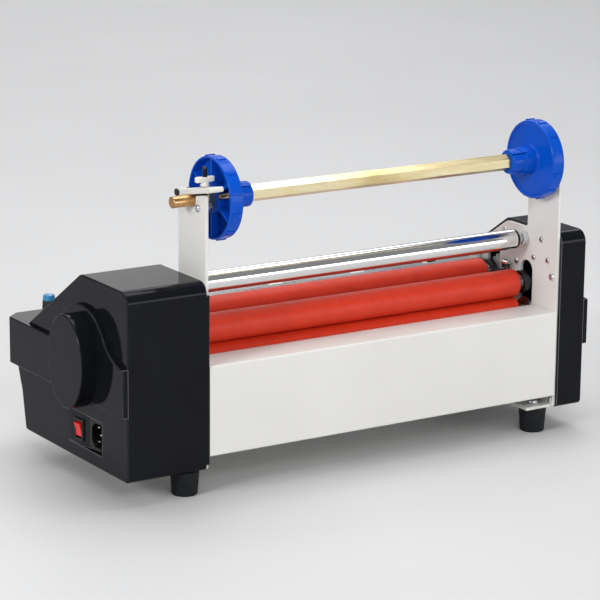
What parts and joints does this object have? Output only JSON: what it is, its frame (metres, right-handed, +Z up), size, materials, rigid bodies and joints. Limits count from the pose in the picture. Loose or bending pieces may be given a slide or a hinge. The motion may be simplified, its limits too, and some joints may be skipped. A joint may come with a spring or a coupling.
{
  "type": "cold roll laminator",
  "caption": "Desktop cold roll laminator with rubber nip rollers between steel plates, a supply bar with core chucks, and black side covers.",
  "frame": {"origin": "middle of the bounding box, on the surface that the feet stand on", "axes": "+X along the rollers, away from the motor side; -Y towards the delivery side with the front deck; +Z up"},
  "size_m": [0.55, 0.2578, 0.3165],
  "materials": {
    "white_paint": "fine powder coat, satin",
    "black_plastic": "gloss moulded",
    "black_moulding": "matt moulded",
    "blue_plastic": "moulded, semi-gloss",
    "red_plastic": "moulded, glossy",
    "knob_plastic": "moulded",
    "white_nylon": "moulded",
    "silicone": "ground silicone rubber",
    "rubber": "moulded rubber",
    "turned_steel": "turned and ground",
    "chrome": "polished",
    "dark_steel": "blackened",
    "yellow_zinc": "drawn bar, yellow zinc plated",
    "circuit_board": "green solder mask"
  },
  "bodies": {
    "frame": {"left_side_plate": "white_paint", "right_side_plate": "white_paint", "front_panel": "white_paint", "chassis_pan": "white_paint", "feed_table": "white_paint", "left_cover": "black_plastic", "right_cover": "black_plastic", "power_inlet": "black_moulding", "switch_housing": "black_moulding", "front_left_foot": "rubber", "rear_left_foot": "rubber", "front_right_foot": "rubber", "rear_right_foot": "rubber", "left_lower_pull_bearing": "turned_steel", "left_lower_main_bearing": "turned_steel", "right_lower_pull_bearing": "turned_steel", "right_lower_main_bearing": "turned_steel", "idler_shaft": "turned_steel", "left_arm_pivot_pin": "turned_steel", "right_arm_pivot_pin": "turned_steel", "gear_motor": "turned_steel", "speed_potentiometer": "turned_steel", "clamp_pivot_pin": "turned_steel", "film_guide": "chrome", "left_pressure_bolt": "chrome", "right_pressure_bolt": "chrome", "brake_bolt": "chrome", "left_pressure_spring": "dark_steel", "right_pressure_spring": "dark_steel", "brake_stud": "dark_steel", "brake_spring": "dark_steel", "control_board": "circuit_board"},
    "lower_main_roller": {"lower_main_roller_core": "turned_steel", "lower_main_roller_sleeve": "silicone", "main_drive_gear": "white_nylon", "main_lower_gear": "white_nylon"},
    "lower_pull_roller": {"lower_pull_roller_core": "turned_steel", "lower_pull_roller_sleeve": "silicone", "pull_drive_gear": "white_nylon"},
    "motor_pinion": {"motor_pinion": "turned_steel"},
    "pressure_arms": {"left_pressure_arm": "dark_steel", "right_pressure_arm": "dark_steel", "left_upper_pull_bearing": "turned_steel", "left_upper_main_bearing": "turned_steel", "right_upper_pull_bearing": "turned_steel", "right_upper_main_bearing": "turned_steel"},
    "upper_main_roller": {"upper_main_roller_core": "turned_steel", "upper_main_roller_sleeve": "silicone", "main_upper_gear": "white_nylon"},
    "upper_pull_roller": {"upper_pull_roller_core": "turned_steel", "upper_pull_roller_sleeve": "silicone"},
    "idler_roller": {"idler_roller": "chrome"},
    "supply_bar": {"supply_bar": "yellow_zinc"},
    "left_chuck": {"left_chuck": "blue_plastic"},
    "locking_screw": {"chuck_locking_screw": "yellow_zinc"},
    "right_chuck": {"right_chuck": "blue_plastic"},
    "clamp_bar": {"clamp_bar": "turned_steel"},
    "wing_nut": {"brake_wing_nut": "white_nylon"},
    "switch_rocker": {"switch_rocker": "red_plastic"},
    "speed_knob": {"speed_knob": "knob_plastic"}
  },
  "joints": [
    {"name": "main_roller_turn", "type": "hinge", "parent": "frame", "child": "lower_main_roller", "pos_m": [0.035, -0.00792, 0.117], "axis": [1, 0, 0], "continuous": true},
    {"name": "pull_roller_turn", "type": "hinge", "parent": "frame", "child": "lower_pull_roller", "pos_m": [0.035, -0.06342, 0.117], "axis": [1, 0, 0], "continuous": true},
    {"name": "motor_pinion_turn", "type": "hinge", "parent": "frame", "child": "motor_pinion", "pos_m": [-0.185, -0.03567, 0.12452], "axis": [1, 0, 0], "continuous": true},
    {"name": "pressure_arm_lift", "type": "hinge", "parent": "frame", "child": "pressure_arms", "pos_m": [0.035, 0.03408, 0.142], "axis": [-1, 0, 0], "range_deg": [0, 2.5], "stiffness_Nm_per_rad": 20, "springref_deg": -2.86, "deforming": ["left_pressure_spring", "right_pressure_spring"]},
    {"name": "upper_main_turn", "type": "hinge", "parent": "pressure_arms", "child": "upper_main_roller", "pos_m": [0.035, -0.00792, 0.1453], "axis": [1, 0, 0], "continuous": true},
    {"name": "upper_pull_turn", "type": "hinge", "parent": "pressure_arms", "child": "upper_pull_roller", "pos_m": [0.035, -0.06342, 0.1453], "axis": [1, 0, 0], "continuous": true},
    {"name": "idler_turn", "type": "hinge", "parent": "frame", "child": "idler_roller", "pos_m": [0.035, -0.05992, 0.1895], "axis": [1, 0, 0], "continuous": true},
    {"name": "supply_bar_turn", "type": "hinge", "parent": "frame", "child": "supply_bar", "pos_m": [0.035, -0.08892, 0.2765], "axis": [1, 0, 0], "continuous": true},
    {"name": "left_chuck_slide", "type": "slide", "parent": "supply_bar", "child": "left_chuck", "axis": [1, 0, 0], "range_m": [0, 0.13]},
    {"name": "right_chuck_slide", "type": "slide", "parent": "supply_bar", "child": "right_chuck", "axis": [1, 0, 0], "range_m": [-0.16, 0]},
    {"name": "locking_screw_turn", "type": "hinge", "parent": "left_chuck", "child": "locking_screw", "pos_m": [-0.146, -0.08892, 0.2765], "axis": [0, -0.9703, 0.2419], "range_deg": [0, 180]},
    {"name": "wing_nut_slide", "type": "slide", "parent": "frame", "child": "wing_nut", "axis": [0, 0, 1], "range_m": [0, 0.006]},
    {"name": "clamp_bar_lift", "type": "hinge", "parent": "frame", "child": "clamp_bar", "pos_m": [-0.169, -0.06792, 0.2805], "axis": [1, 0, 0], "range_deg": [-8.3, 0], "deforming": ["brake_spring"]},
    {"name": "switch_rocker_tip", "type": "hinge", "parent": "frame", "child": "switch_rocker", "pos_m": [-0.24884, -0.01859, 0.052], "axis": [-0.1039, 0.9946, 0], "range_deg": [0, 22]},
    {"name": "speed_knob_turn", "type": "hinge", "parent": "frame", "child": "speed_knob", "pos_m": [-0.22, 0.10108, 0.144], "axis": [0, 0, 1], "range_deg": [0, 300]}
  ],
  "couplings": [
    {"joint": "pull_roller_turn", "follows": "main_roller_turn", "ratio": 1},
    {"joint": "motor_pinion_turn", "follows": "main_roller_turn", "ratio": -1.5556},
    {"joint": "upper_main_turn", "follows": "main_roller_turn", "ratio": -1},
    {"joint": "upper_pull_turn", "follows": "main_roller_turn", "ratio": -1},
    {"joint": "clamp_bar_lift", "follows": "wing_nut_slide", "rad_per_m": -24}
  ]
}
